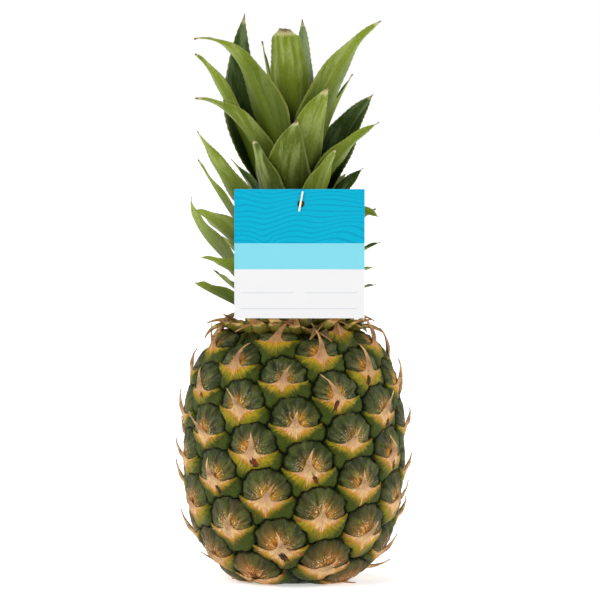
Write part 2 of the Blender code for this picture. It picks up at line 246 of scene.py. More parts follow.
class Painter:
    """Builds one material's nodes, a method for each kind of node it uses."""

    def __init__(self, name: str) -> None:
        """Starts a material with an empty node tree.

        Args:
            name: the material's name.
        """
        self.material = bpy.data.materials.new(name)
        self.material.use_nodes = True
        self.tree = self.material.node_tree
        self.tree.nodes.clear()

    def feed(self, socket: NodeSocket, value: object) -> None:
        """Links a socket to a value, or sets it to a number or a colour.

        Args:
            socket: the input.
            value: what it takes.
        """
        if isinstance(value, Value):
            self.tree.links.new(value.socket, socket)
        elif isinstance(value, tuple) and len(value) == 3 and socket.type == "RGBA":
            socket.default_value = (*value, 1.0)
        else:
            socket.default_value = value

    def node(self, kind: str, inputs: dict | None = None, **settings: object) -> Node:
        """Adds a node.

        Args:
            kind: the node's type.
            inputs: what its inputs take, by name or number.
            settings: its properties.

        Returns:
            The node.
        """
        made = self.tree.nodes.new(kind)
        for key, value in settings.items():
            setattr(made, key, value)
        for key, value in (inputs or {}).items():
            self.feed(made.inputs[key], value)
        return made

    def value(self, kind: str, inputs: dict | None = None, output: int | str = 0,
              **settings: object) -> Value:
        """Adds a node and takes one of its outputs.

        Args:
            kind: the node's type.
            inputs: what its inputs take, by name or number.
            output: the output's name or number.
            settings: its properties.

        Returns:
            The output's value.
        """
        return Value(self, self.node(kind, inputs, **settings).outputs[output])

    def place(self) -> Value:
        """The point's place on the object."""
        return self.value("ShaderNodeTexCoord", output="Object")

    def split(self, vector: Value) -> tuple[Value, ...]:
        """A vector's three numbers."""
        parts = self.node("ShaderNodeSeparateXYZ", {0: vector})
        return tuple(Value(self, socket) for socket in parts.outputs)

    def attribute(self, name: str) -> tuple[Value, ...]:
        """The three numbers stored at each point under a name."""
        return self.split(self.value("ShaderNodeAttribute", output="Vector", attribute_name=name))

    def join(self, x: object, y: object, z: object) -> Value:
        """A vector of three values."""
        return self.value("ShaderNodeCombineXYZ", {0: x, 1: y, 2: z})

    def maths(self, operation: str, *values: object) -> Value:
        """A sum, product or other function of numbers."""
        return self.value("ShaderNodeMath", dict(enumerate(values)), operation=operation)

    def length(self, x: Value, y: Value) -> Value:
        """The distance of a place from where x and y are 0."""
        return self.maths("SQRT", x * x + y * y)

    def noise(self, place: Value, scale: float, detail: float = 3.0, rough: float = 0.55,
              warp: float = 0.0) -> Value:
        """Soft random patches.

        Args:
            place: where each point is.
            scale: how many patches there are to a metre.
            detail: how many finer layers it has.
            rough: how strong the finer layers are.
            warp: how far it is distorted.

        Returns:
            Values mostly between 0.3 and 0.7.
        """
        inputs = {"Vector": place, "Scale": scale, "Detail": detail, "Roughness": rough, "Distortion": warp}
        return self.value("ShaderNodeTexNoise", inputs, "Fac", noise_dimensions="3D")

    def grain(self, x: Value, y: Value, own: Value, *noise: float) -> Value:
        """Noise drawn out as x and y are scaled, with a number that sets each part's apart."""
        return self.noise(self.join(x, y, own), 1.0, *noise)

    def stretch(self, place: Value, scale: tuple) -> Value:
        """The place with each axis scaled on its own."""
        return self.value("ShaderNodeMapping", {"Vector": place, "Scale": scale})

    def fit(self, value: Value, low: float, high: float, to_low: float = 0.0,
            to_high: float = 1.0) -> Value:
        """A value taken smoothly from low and high to two others, and held at its ends."""
        given = dict(enumerate((value, low, high, to_low, to_high)))
        return self.value("ShaderNodeMapRange", given, interpolation_type="SMOOTHSTEP")

    def mix(self, share: Value, first: object, second: object, blend: str = "MIX") -> Value:
        """Two colours mixed, the share held within 0 to 1."""
        inputs = {0: share, 6: first, 7: second}
        return self.value("ShaderNodeMix", inputs, 2, data_type="RGBA", blend_type=blend)

    def coats(self, colour: object, *coats: tuple) -> Value:
        """Lays colours over one another in turn.

        Args:
            colour: the undermost colour.
            coats: for each its colour, the value it follows, the values at which it is absent
                and at its fullest, its fullest share, and its way of blending if not plain.

        Returns:
            The colour.
        """
        for over, value, low, high, most, *blend in coats:
            colour = self.mix(self.fit(value, low, high, 0.0, most), colour, over, *blend)
        return colour

    def bump(self, height: Value, depth: float, normal: Value | None = None) -> Value:
        """Small relief of the given depth in metres, on other relief if given."""
        under = {} if normal is None else {"Normal": normal}
        return self.value("ShaderNodeBump", {"Strength": 1.0, "Distance": depth, "Height": height, **under})

    def surface(self, colour: Value, roughness: object, normal: Value | None = None,
                **others: object) -> Material:
        """Ends the tree in a Principled surface.

        Args:
            colour: the base colour.
            roughness: the roughness.
            normal: the relief, if any.
            others: what other sockets take, with _ for a space in the name.

        Returns:
            The finished material.
        """
        inputs = {key.replace("_", " "): value for key, value in others.items()}
        inputs.update({"Base Color": colour, "Roughness": roughness})
        if normal is not None:
            inputs["Normal"] = normal
        shader = self.value("ShaderNodeBsdfPrincipled", inputs)
        self.node("ShaderNodeOutputMaterial", {"Surface": shader})
        return self.material


# ---------------------------------------------------------------- finishes
class RindPainter(Painter):
    """The rind's material, with the values that its colours follow.

    It reads "eye", a point's place in its fruitlet and the fruitlet's own number, "zone", how
    far it is cap, groove and dry bract, "age", how far it glows, is pitted and is low on the
    fruit, and "bract", its depth below the bract's margin, how scarred it is and how raised.
    """

    SPINE_FOOT = 0.16

    def __init__(self) -> None:
        """Reads what the mesh stores and lays the noises."""
        super().__init__("rind")
        self.across, up, self.own = self.attribute("eye")
        self.cap, self.groove, self.dry = self.attribute("zone")
        self.glow, self.pit, self.low = self.attribute("age")
        self.depth, self.scar, self.raised = self.attribute("bract")
        here = self.place()
        self.mottle = self.noise(here, 300.0, 4.0, 0.62)
        self.fine = self.noise(here, 1100.0, 2.0, 0.6)
        self.patches = self.noise(here, 85.0, 2.0, 0.5)
        angle = self.maths("ARCTAN2", self.across, up + 0.05)
        self.far = self.length(self.across, up)
        self.fan = self.grain(angle * 7.0, self.far * 4.0, self.own, 4.0, 0.65, 0.4)
        self.folds = self.grain(angle * 3.2, self.far * 2.4, self.own, 2.0, 0.5, 0.3)
        below = self.depth + self.SPINE_FOOT
        spread, down = self.maths("ARCTAN2", self.across, below), self.length(self.across, below)
        self.rays = self.grain(spread * 11.0, down * 5.0, self.own, 4.0, 0.6, 0.25)
        self.fibres = self.grain(spread * 30.0, down * 4.0, self.own, 3.0, 0.6, 0.3)


@dataclass(frozen=True)
class Rind:
    """The fruit's rind: dark domed caps, olive bracts, dry pale spines and painted shade in its grooves and
    hollows.
    """

    cap: Colour = rgb(84, 92, 34)
    cap_shade: Colour = rgb(34, 44, 12)
    cap_streak: Colour = rgb(122, 120, 98)
    cap_brown: Colour = rgb(116, 84, 46)
    fleck: Colour = rgb(240, 234, 204)
    glow: Colour = rgb(240, 160, 30)
    pit: Colour = rgb(124, 44, 24)
    bract: Colour = rgb(166, 150, 22)
    bract_warm: Colour = rgb(224, 160, 48)
    bract_low: Colour = rgb(58, 70, 10)
    streak: Colour = rgb(152, 70, 20)
    dry: Colour = rgb(240, 206, 142)
    dry_pink: Colour = rgb(232, 178, 138)
    dry_dark: Colour = rgb(158, 92, 44)
    groove: Colour = rgb(24, 36, 4)

    def material(self) -> Material:
        """Builds the rind.

        Returns:
            The material.
        """
        p = RindPainter()
        colour = p.coats(
            p.mix(p.cap, self.paint_bract(p), self.paint_cap(p)),
            # painted shade: the groove colour darkens the grooves between fruitlets
            (self.groove, p.groove * 1.3 + (p.mottle - 0.5) * 0.8, 0.30, 0.95, 1.0),
            # painted shade: skin lying low between the raised domes and bracts takes the groove colour
            (self.groove, p.raised, 0.75, 0.0, 0.72),
        )
        relief = (p.fan * 0.5 + p.folds) * p.cap + p.rays * (1.0 - p.cap)
        normal = p.bump(p.mottle, 0.0006, p.bump(relief, 0.0022))
        return p.surface(colour, p.fit(p.mottle, 0.3, 0.7, 0.42, 0.62), normal, Specular_IOR_Level=0.13)

    def paint_cap(self, p: RindPainter) -> Value:
        """The cap's colour: dark green with grey rays, an orange glow, pale flecks and painted shade at its
        rim.

        Args:
            p: the rind's painter.

        Returns:
            The colour.
        """
        colour = p.coats(
            self.cap,
            (self.cap_shade, p.folds, 0.62, 0.36, 1.0),
            (self.cap_shade, p.patches, 0.42, 0.66, 0.6),
            (self.cap_shade, p.fine, 0.52, 0.34, 0.45),
            (self.cap_brown, p.mottle, 0.56, 0.70, 0.28),
            (self.cap_streak, p.fan, 0.46, 0.74, 0.5),
            (self.cap_brown, p.low + (p.patches - 0.5) * 1.6, 0.66, 1.15, 0.5),
            # painted shade: the cap darkens towards its rim
            (self.cap_shade, p.far, 0.30, 0.56, 0.45),
        )
        warm = p.coats(self.glow, (self.streak, p.low, 0.55, 0.85, 0.6))
        colour = p.mix(p.glow * p.fit(p.fan, 0.30, 0.56), colour, warm)
        sprinkle = p.fit(p.far, 0.42, 0.10) * (p.low * 0.9 + 0.35)
        colour = p.mix(sprinkle * p.fit(p.fine + p.fan * 0.25, 0.70, 0.80), colour, self.fleck)
        lit = p.fit(p.far, 0.26, 0.08) * p.fit(p.fan, 0.50, 0.62)
        colour = p.mix(lit * p.low, colour, self.dry)
        return p.mix(p.pit * p.fit(p.mottle, 0.2, 0.5), colour, self.pit)

    def paint_bract(self, p: RindPainter) -> Value:
        """The bract's colour: dark green below, yellow towards its margin, dry by its spine.

        Args:
            p: the rind's painter.

        Returns:
            The colour.
        """
        aside = abs(p.across)
        wander = (p.rays - 0.5) * 0.30
        deep = p.depth + wander
        reach = p.fit(p.maths("SINE", p.own), -1.0, 1.0, 0.32, 0.50)
        limit = p.maths("MAXIMUM", reach - aside * 0.66, 0.07)
        colour = p.coats(
            self.bract_low,
            (self.bract, deep / limit, 1.35, 0.1, 1.0),
            (self.bract_low, aside + wander, 0.26, 0.58, 0.75),
        )
        colour = p.mix(p.fit(deep, 0.20, 0.0) * p.fit(aside, 0.42, 0.08), colour, self.bract_warm)
        burnt = p.fit(p.rays, 0.58, 0.68) * p.fit(deep, 0.26, 0.02)
        colour = p.mix(burnt * 0.75, colour, self.streak)
        rim = p.fit(p.depth, 0.045, 0.012) * p.fit(aside, 0.58, 0.22)
        ragged = p.maths("MAXIMUM", p.dry, rim * 0.55) + (p.rays - 0.5) * 1.1
        pale = p.coats(
            self.dry,
            (self.dry_pink, p.mottle, 0.35, 0.65, 1.0),
            (self.dry_dark, p.low + p.mottle * 0.3, 0.50, 0.14, 0.5),
            (self.dry_dark, p.fibres, 0.46, 0.68, 0.7),
        )
        toasted = p.coats(self.bract_warm, (self.streak, p.rays, 0.40, 0.60, 1.0))
        colour = p.coats(
            colour,
            (self.bract_low, p.fibres, 0.50, 0.68, 0.35),
            (toasted, ragged, 0.22, 0.40, 0.8),
            (pale, ragged, 0.34, 0.56, 1.0),
        )
        torn = p.scar + ((p.rays - 0.5) * 1.4 + (p.mottle - 0.5) * 1.2)
        sore = p.coats(self.pit, (self.cap_shade, p.mottle, 0.42, 0.56, 1.0))
        return p.mix(p.fit(torn, 0.32, 0.50) * p.fit(p.scar, 0.1, 0.3), colour, sore)


class Side(Enum):
    """Which face of a leaf a finish is for, or the outer face of a scale leaf."""

    OUTER = "outer"
    INNER = "inner"
    SCALE = "scale"


@dataclass(frozen=True)
class LeafFinish:
    """One face of a leaf: fine veins, a pale bloom, a paler foot, painted shade low on the blade and a dry
    tip.
    """

    side: Side
    green: Colour
    shade: Colour
    bloom: Colour
    foot: Colour = rgb(164, 172, 84)
    dry: Colour = rgb(186, 180, 128)
    scorch: Colour = rgb(104, 88, 56)

    def material(self) -> Material:
        """Builds the face.

        It reads "blade", a point's place across and up the blade in millimetres and the leaf's
        own number, "state", its share of the way up, how dry it is and how near a margin, and
        "tone", how pale the leaf is, or how dark below 0.

        Returns:
            The material.
        """
        p = Painter(f"leaf_{self.side.value}")
        across, along, own = p.attribute("blade")
        share, dry, margin = p.attribute("state")
        tone = p.attribute("tone")[0]
        veins = p.grain(across * 2.4, along * 0.03, own, 3.0, 0.6)
        bands = p.grain(across * 0.17, along * 0.02, own, 1.0, 0.5)
        flecks = p.grain(across * 1.3, along * 0.5, own, 3.0, 0.6)
        blotches = p.grain(across * 0.22, along * 0.03, own, 3.0, 0.6, 0.4)
        colour = p.coats(
            self.green,
            (self.shade, bands, 0.35, 0.70, 0.6),
            (self.bloom, tone, 0.0, 1.0, 1.0),
            (self.shade, tone, 0.0, -1.0, 1.0, "MULTIPLY"),
            (self.shade, veins, 0.46, 0.74, 0.38),
        )
        misty = p.fit(blotches, 0.46, 0.66) * p.fit(share, 0.25, 0.8, 0.12, 0.55)
        colour = p.coats(
            p.mix(misty, colour, self.bloom),
            (self.bloom, flecks, 0.60, 0.74, 0.5),
            (self.shade, flecks, 0.46, 0.30, 0.35, "MULTIPLY"),
            (self.scorch, flecks, 0.36, 0.26, 0.45),
            (self.foot, share, 0.22, 0.0, 1.0),
            # painted shade: the blade darkens towards its foot, where the crown shades it
            (self.shade, share, 0.84, 0.28, 0.66, "MULTIPLY"),
            (self.foot, margin, 0.88, 1.0, 0.4),
        )
        edging = p.fit(margin, 0.93, 1.0) * p.fit(flecks, 0.40, 0.60)
        ragged = dry + (flecks - 0.5) * 0.8
        colour = p.coats(
            p.mix(edging * 0.6, colour, self.scorch),
            (self.dry, ragged, 0.20, 0.55, 0.8),
            (self.scorch, ragged, 0.60, 1.00, 1.0),
        )
        normal = p.bump(blotches, 0.0007, p.bump(veins, 0.0004))
        return p.surface(colour, p.fit(veins, 0.3, 0.8, 0.40, 0.62), normal, Specular_IOR_Level=0.14)


# ---------------------------------------------------------------- the fruit
@dataclass
class Barrel:
    """The fruit's outline: a superellipse turned about Z and cut flat where it rests.

    Distances up the side, from the edge of the foot to the edge of the top, are called places.
    """

    top: float
    girth_radius: float = 0.0575
    girth_height: float = 0.0750
    lower_reach: float = 0.0765
    upper_reach: float = 0.0680
    power: float = 2.7
    steps: int = 800
    heights: Array = field(init=False)
    radii: Array = field(init=False)
    places: Array = field(init=False)

    def __post_init__(self) -> None:
        """Lays stations up the side."""
        self.heights = np.linspace(0.0, self.top, self.steps + 1)
        reach = np.where(self.heights < self.girth_height, self.lower_reach, self.upper_reach)
        share = np.abs(self.heights - self.girth_height) / reach
        self.radii = self.girth_radius * (1.0 - share**self.power) ** (1.0 / self.power)
        runs = np.hypot(np.diff(self.radii), np.diff(self.heights))
        self.places = np.concatenate([[0.0], np.cumsum(runs)])

    @property
    def side(self) -> float:
        """The length of the side."""
        return float(self.places[-1])

    def radius_at(self, place: Array) -> Array:
        """The radius at a place, which shrinks to nothing across the foot and the top.

        Args:
            place: distance up the side.

        Returns:
            The radius.
        """
        under = self.radii[0] + place
        over = self.radii[-1] + self.side - place
        beside = np.interp(place, self.places, self.radii)
        return np.maximum(np.minimum(beside, np.minimum(under, over)), 0.0)

    def point(self, azimuth: Array, place: Array, out: Array) -> Array:
        """Points a distance out from the barrel.

        Args:
            azimuth: degrees about the axis.
            place: distance up the side, below 0 under the foot and past the side over the top.
            out: distance out from the surface.

        Returns:
            One row of x, y, z for each point.
        """
        radius = self.radius_at(place)
        height = np.interp(place, self.places, self.heights)
        step = 0.0008
        above, below = (np.interp(place + way, self.places, self.heights) for way in (step, -step))
        rise = above - below
        widen = self.radius_at(place + step) - self.radius_at(place - step)
        length = np.maximum(np.hypot(rise, widen), 1e-9)
        outer = np.maximum(radius + out * rise / length, 0.0)
        return at_azimuth(azimuth, outer, height - out * widen / length)


@dataclass
class Fruitlets:
    """The fruitlets: one spiral up the barrel, each a domed cap above a bract with a spine.

    A place in a fruitlet is measured from its spine's foot, across and up, in fruitlet widths.
    """

    barrel: Barrel
    turn: float = 137.91
    start: float = 137.0
    first: float = 0.93
    area: float = 0.000674
    area_slope: float = -0.155
    area_curve: float = -0.107
    middle_height: float = 0.070
    cap_rise: float = 0.0036
    bract_rise: float = 0.0030
    groove_depth: float = 0.0016
    fold_height: float = 0.00035
    seed: int = 7
    azimuth: Array = field(init=False)
    place: Array = field(init=False)
    radius: Array = field(init=False)
    width: Array = field(init=False)
    own: Array = field(init=False)

    CAP_HALF_WIDTH = 0.51
    CAP_HALF_HEIGHT = 0.44
    CAP_MIDDLE = 0.16
    CAP_POWER = 2.15
    BRACT_HALF_WIDTH = 0.66
    BRACT_HALF_HEIGHT = 0.46
    BRACT_MIDDLE = -0.16
    DIP = 0.26
    NOT_HERE = 9.0

    def __post_init__(self) -> None:
        """Packs the fruitlets evenly over the skin, smaller towards the top."""
        barrel = self.barrel
        runs = np.diff(barrel.places)
        bands = math.pi * (barrel.radii[1:] + barrel.radii[:-1]) * runs
        middles = (barrel.heights[1:] + barrel.heights[:-1]) / 2
        counts = np.concatenate([[0.0], np.cumsum(bands / self.area_at(middles))])
        numbers = np.arange(int(counts[-1] - self.first) + 1)
        heights = np.interp(numbers + self.first, counts, barrel.heights)
        self.azimuth = way_round(self.start + numbers * self.turn)
        self.place = np.interp(heights, barrel.heights, barrel.places)
        self.radius = np.interp(heights, barrel.heights, barrel.radii)
        self.width = np.sqrt(self.area_at(heights))
        self.own = np.random.default_rng(self.seed).random((len(numbers), 6))

    def area_at(self, height: Array) -> Array:
        """A fruitlet's area of skin at a height."""
        up = (height - self.middle_height) / self.middle_height
        return self.area * (1.0 + self.area_slope * up + self.area_curve * up * up)

    @staticmethod
    def bract_edge(across: Array) -> Array:
        """How high the bract's upper margin stands: it rises from a dip out to its wing tips."""
        return -0.05 + np.clip(np.abs(across) - Fruitlets.DIP, 0.0, None) ** 2

    def relief(self, azimuth: Array, place: Array) -> dict[str, Array]:
        """Works out the skin's relief and zones at places on the barrel.

        Args:
            azimuth: degrees about the axis.
            place: distances up the side.

        Returns:
            The rise, the groove, whether it is cap, the place across and up in the fruitlet
            and which fruitlet it is, each under its name.
        """
        radius = self.barrel.radius_at(place)
        turn = np.radians(way_round(azimuth[:, None] - self.azimuth))
        across = turn * (radius[:, None] + self.radius) / 2 / self.width
        up = (place[:, None] - self.place) / self.width
        cap = ((np.abs(across) / self.CAP_HALF_WIDTH) ** self.CAP_POWER
               + (np.abs(up - self.CAP_MIDDLE) / self.CAP_HALF_HEIGHT) ** self.CAP_POWER)
        cap = cap ** (1 / self.CAP_POWER)
        angle = np.arctan2(across, up - self.CAP_MIDDLE)
        ripples = self.own[:, :3] * NUMBER_SPREAD
        cap = cap + (0.030 * np.sin(angle * 9.0 + ripples[:, 0])
                     + 0.022 * np.sin(angle * 17.0 + ripples[:, 1]))
        bract = np.hypot(across / self.BRACT_HALF_WIDTH, (up - self.BRACT_MIDDLE) / self.BRACT_HALF_HEIGHT)
        above = up > self.bract_edge(across)
        cap_here = np.where(above, cap, self.NOT_HERE)
        rows = np.arange(len(azimuth))
        cap_owner = cap_here.argmin(axis=1)
        cap_near = cap_here[rows, cap_owner]
        bract_owner = bract.argmin(axis=1)
        ordered = np.partition(bract, 1, axis=1)
        is_cap = cap_near < 1.0
        owner = np.where(is_cap, cap_owner, bract_owner)
        dome = np.sqrt(np.clip(1.0 - cap**3.0, 0.0, 1.0)) * self.cap_rise * (1.0 - 0.25 * up)
        bulge = np.sqrt(np.clip(1.0 - bract**2.4, 0.0, 1.0)) * self.bract_rise
        swell = np.maximum(dome, bulge).max(axis=1)
        rim = bell(cap_near - 1.02, 0.065)
        seam = np.where(is_cap, 0.0, bell(ordered[:, 1] - ordered[:, 0], 0.07))
        groove = np.maximum(rim, seam)
        folds = np.sin(angle[rows, cap_owner] * 8.0 + ripples[cap_owner, 2])
        swell = swell + np.where(is_cap, self.fold_height * folds * smooth_step(cap_near / 0.8), 0.0)
        return {
            "swell": swell,
            "groove": groove,
            "cap": is_cap.astype(float),
            "across": across[rows, owner],
            "up": up[rows, owner],
            "owner": owner,
        }


@dataclass
class Fruit:
    """The fruit: its skin, with the bracts and spines that lie on it."""

    barrel: Barrel
    columns: int = 380
    rings: int = 250
    bract_columns: int = 26
    bract_rows: int = 12
    bract_thickness: float = 0.0006
    floor_clearance: float = 0.0008
    stalk_radius: float = 0.0125
    stalk_depth: float = 0.0035
    scar_depth: float = 0.0009
    batch: int = 8000

    BLADE_HALF_WIDTH = 0.56
    BLADE_ROUND = 0.57
    BLADE_DEPTH = 0.30
    SPINE_HALF_WIDTH = 0.30
    SPINE_POWER = 4.6
    CROWDING = 1.7
    TOOTH = 0.012

    def build(self, rind: Material) -> None:
        """Makes the skin and the bracts.

        Args:
            rind: their material.
        """
        fruitlets = Fruitlets(self.barrel)
        self.skin(fruitlets, rind)
        self.bracts(fruitlets, rind)

    @staticmethod
    def dryness(fruitlets: Fruitlets, owner: Array, across: Array, depth: Array) -> Array:
        """How dry the bract is: most round the foot of its spine, and more low on the fruit.

        Args:
            fruitlets: the fruitlets.
            owner: the number of each point's fruitlet.
            across: its place across the fruitlet.
            depth: how far it is below the bract's margin.

        Returns:
            From 0, fresh, to 1, dry.
        """
        own = fruitlets.own[owner]
        low = 1.0 - fruitlets.place[owner] / fruitlets.barrel.side
        wide = 0.22 + 0.44 * low**1.5 + 0.20 * own[:, 1]
        tall = 0.09 + 0.34 * low**1.5 + 0.24 * own[:, 3]
        heart = (np.abs(across) / wide) ** 0.8 + (np.clip(depth, 0.0, None) / tall) ** 0.8
        return np.exp(-(heart**1.6) * 1.5)

    @staticmethod
    def scars(fruitlets: Fruitlets, owner: Array, across: Array, depth: Array) -> Array:
        """Dark cracks beside the spine's foot, on fewer than half of the bracts.

        Args:
            fruitlets: the fruitlets.
            owner: the number of each point's fruitlet.
            across: its place across the fruitlet.
            depth: how far it is below the bract's margin.

        Returns:
            From 0, sound, to 1, cracked.
        """
        own = fruitlets.own[owner]
        side = np.where(own[:, 4] > 0.3, 1.0, -1.0)
        aside = across - side * (0.05 + 0.08 * own[:, 2])
        below = depth - 0.09 - 0.10 * own[:, 1]
        aside, below = aside - 0.45 * side * below, below + 0.45 * side * aside
        spot = np.hypot(aside / (0.045 + 0.05 * own[:, 5]), below / (0.09 + 0.05 * own[:, 3]))
        return np.exp(-(spot**2)) * (own[:, 0] > 0.62)

    def skin(self, fruitlets: Fruitlets, rind: Material) -> None:
        """The skin: a ball whose rings are laid along the foot, up the side and over the top.

        Args:
            fruitlets: the fruitlets.
            rind: its material.
        """
        shape = bmesh.new()
        bmesh.ops.create_uvsphere(shape, u_segments=self.columns, v_segments=self.rings, radius=1.0)
        mesh = mesh_from(shape, "fruit_skin")
        ball = points_of(mesh)
        azimuth = np.degrees(np.arctan2(ball[:, 0], -ball[:, 1]))
        share = np.arccos(np.clip(-ball[:, 2], -1.0, 1.0)) / math.pi
        foot, side, top = self.barrel.radii[0], self.barrel.side, self.barrel.radii[-1]
        place = share * (foot + side + top) - foot
        batches = [slice(start, start + self.batch) for start in range(0, len(ball), self.batch)]
        parts = [fruitlets.relief(azimuth[batch], place[batch]) for batch in batches]
        found = {key: np.concatenate([part[key] for part in parts]) for key in parts[0]}
        ends = smooth_step(place / 0.010) * smooth_step((side + 0.004 - place) / 0.010)
        owner, across = found["owner"], found["across"]
        depth = fruitlets.bract_edge(across) - found["up"]
        bare = 1.0 - found["cap"]
        scar = self.scars(fruitlets, owner, across, depth) * bare
        out = (found["swell"] - fruitlets.groove_depth * found["groove"] - self.scar_depth * scar) * ends
        points = self.barrel.point(azimuth, place, out)
        points[:, 2] = np.maximum(points[:, 2], 0.0)
        stalk = self.sink_stalk(points, azimuth, place < 0.0)
        move_points(mesh, points)
        for key in ("cap", "groove"):
            found[key] = found[key] * (1.0 - stalk)
        dry = np.maximum(self.dryness(fruitlets, owner, across, depth) * bare, stalk)
        self.mark_zones(mesh, fruitlets, found, dry)
        # the third number, how raised the skin is, sets where the rind paints shade in its low places; the
        # stalk's scar is kept clear of it
        mark(mesh, "bract", depth, scar, np.maximum(smooth_step(out / (2.6 * MM)), stalk))
        piece = add_piece("fruit_skin", mesh, "rind", rind)
        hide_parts("fruit")

    def sink_stalk(self, points: Array, azimuth: Array, under: Array) -> Array:
        """Sinks the cut stalk's round scar into the foot.

        Args:
            points: the skin's points, which it moves.
            azimuth: degrees about the axis.
            under: whether each point is under the fruit.

        Returns:
            How far each point is part of the scar, from 0 to 1.
        """
        from_axis = np.hypot(points[:, 0], points[:, 1])
        rough_cut = 0.12 * np.sin(from_axis / MM * 2.1) + 0.10 * np.sin(np.radians(azimuth) * 13.0)
        hollow = smooth_step((self.stalk_radius - from_axis) / (1.5 * MM))
        points[:, 2] += np.where(under, self.stalk_depth * hollow * (1.0 + rough_cut), 0.0)
        rim = smooth_step((self.stalk_radius + 2.0 * MM - from_axis) / (2.0 * MM))
        return np.where(under, rim, 0.0)

    @staticmethod
    def mark_zones(mesh: Mesh, fruitlets: Fruitlets, found: dict[str, Array], dry: Array) -> None:
        """Stores what the rind's material reads.

        Args:
            mesh: the skin.
            fruitlets: the fruitlets.
            found: what the relief found at each point.
            dry: how dry each point is.
        """
        own = fruitlets.own[found["owner"]]
        across, up = found["across"], found["up"]
        mark(mesh, "eye", across, up, own[:, 0] * NUMBER_SPREAD)
        # the groove share also sets where the rind paints shade along the grooves
        mark(mesh, "zone", found["cap"], found["groove"], dry)
        side = np.where(own[:, 2] > 0.5, 1.0, -1.0)
        low = 1.0 - fruitlets.place[found["owner"]] / fruitlets.barrel.side
        spread = 0.14 + 0.12 * low**2
        glow = np.exp(-((across - 0.05 * side) / spread) ** 2 - ((up - 0.06) / spread) ** 2)
        glow = glow * (0.25 + own[:, 3] + 0.3 * low**2)
        pit = np.exp(-((across - 0.06 * side) / 0.05) ** 2 - ((up - 0.07) / 0.06) ** 2) * (own[:, 4] > 0.4)
        mark(mesh, "age", np.clip(glow, 0, 1) * found["cap"], pit * found["cap"], low)

    def bracts(self, fruitlets: Fruitlets, rind: Material) -> None:
        """The bracts: a thin blade for each fruitlet, drawn up in the middle into its spine.

        Args:
            fruitlets: the fruitlets.
            rind: their material.
        """
        mesh, side, rise, owner = grids("bracts", len(fruitlets.azimuth), self.bract_columns, self.bract_rows)
        own = fruitlets.own[owner]
        width = fruitlets.width[owner]
        share = fruitlets.place[owner] / fruitlets.barrel.side
        top = smooth_step((share - 0.78) / 0.22)
        across = np.sign(side) * np.abs(side) ** self.CROWDING * self.BLADE_HALF_WIDTH
        edge = fruitlets.bract_edge(across)
        spine = 0.34 + 0.18 * own[:, 0] - 0.10 * smooth_step((0.3 - share) / 0.3) + 0.26 * top
        spine = spine * (0.45 + 0.55 * smooth_step((share - 0.03) / 0.12))
        hat = spine * np.clip(1.0 - np.abs(across) / self.SPINE_HALF_WIDTH, 0.0, 1.0) ** self.SPINE_POWER
        low = edge - self.BLADE_DEPTH * np.sqrt(np.clip(1.0 - (across / self.BLADE_ROUND) ** 2, 0.0, 1.0))
        tooth = self.TOOTH * np.where(np.round(side * 50.0) % 2 == 0, 1.0, 0.0) * (rise > 0.99)
        up = low + (edge + hat + tooth - low) * rise
        over = np.clip(up - edge, 0.0, None)
        slant = (own[:, 5] - 0.5) * 0.9
        lean_across = across + slant * over + (own[:, 2] - 0.5) * 2.4 * over**2
        place = fruitlets.place[owner] + up * width
        around = lean_across * width / np.maximum(self.barrel.radius_at(place), 0.02)
        azimuth = fruitlets.azimuth[owner] + np.degrees(around)
        under = fruitlets.relief(azimuth, place)
        splay = 4.0 + 14.0 * own[:, 3] + 18.0 * top + 26.0 * smooth_step((0.22 - share) / 0.12)
        stand = np.tan(np.radians(splay))
        out = (under["swell"] - 0.9 * MM + 1.5 * MM * smooth_step(rise / 0.45)
               + (0.9 + 1.1 * smooth_step(over / 0.1)) * MM * bell(across, 0.045) * smooth_step(rise / 0.7)
               + over * width * stand)
        points = self.barrel.point(azimuth, place, out)
        points[:, 2] = np.maximum(points[:, 2], self.floor_clearance)
        move_points(mesh, points)
        depth = edge - up
        withered = self.dryness(fruitlets, owner, across, np.maximum(depth, 0.0))
        dry = np.maximum(withered, smooth_step(over / 0.04))
        mark(mesh, "eye", across, up, own[:, 0] * NUMBER_SPREAD)
        mark(mesh, "zone", 0.0, 0.0, dry)
        mark(mesh, "age", 0.0, 0.0, 1.0 - share)
        scar = self.scars(fruitlets, owner, across, depth)
        # the third number, how raised the bract is, sets where the rind paints shade on its low parts
        mark(mesh, "bract", depth, scar, smooth_step(out / (2.4 * MM)))
        piece = add_piece("bracts", mesh, "rind", rind)
        thicken(piece, self.bract_thickness, -1.0, 0)


# ---------------------------------------------------------------- the crown
def thin_edges(piece: Object, thickness: SolidifyModifier) -> None:
    """Makes a blade thinner towards its margins and its tip.

    Args:
        piece: the blade, marked with its state.
        thickness: the modifier that gives it its thickness.
    """
    state = np.empty(len(piece.data.vertices) * 3)
    piece.data.attributes["state"].data.foreach_get("vector", state)
    share, _, margin = state.reshape(-1, 3).T
    body = np.round((1.0 - 0.7 * margin**2) * (1.0 - 0.7 * share**3), 2)
    group = piece.vertex_groups.new(name="body")
    for weight in np.unique(body):
        group.add(np.flatnonzero(body == weight).tolist(), float(weight), "REPLACE")
    thickness.vertex_group = group.name


@dataclass(frozen=True)
class Habit:
    """How a leaf grows a share of the way down the crown."""

    share: float
    lean: float
    reach: float
    tip: float
    width: float
    arch: float


@dataclass(frozen=True)
class Leaf:
    """One leaf of the crown.

    Its midrib leaves the stem at its lean from upright and ends at its reach from the axis and
    its tip's height. Arch is how far it rises before it bends, swing turns its tip about the
    axis, a higher fullness keeps the blade wide nearer to its tip, and roll turns the blade
    about its midrib.
    """

    azimuth: float
    root: float
    lean: float
    reach: float
    tip: float
    width: float
    arch: float
    swing: float = 0.0
    fullness: float = 2.2
    dry: float = 0.08
    tone: float = 0.0
    blunt: float = 0.0
    roll: float = 0.0


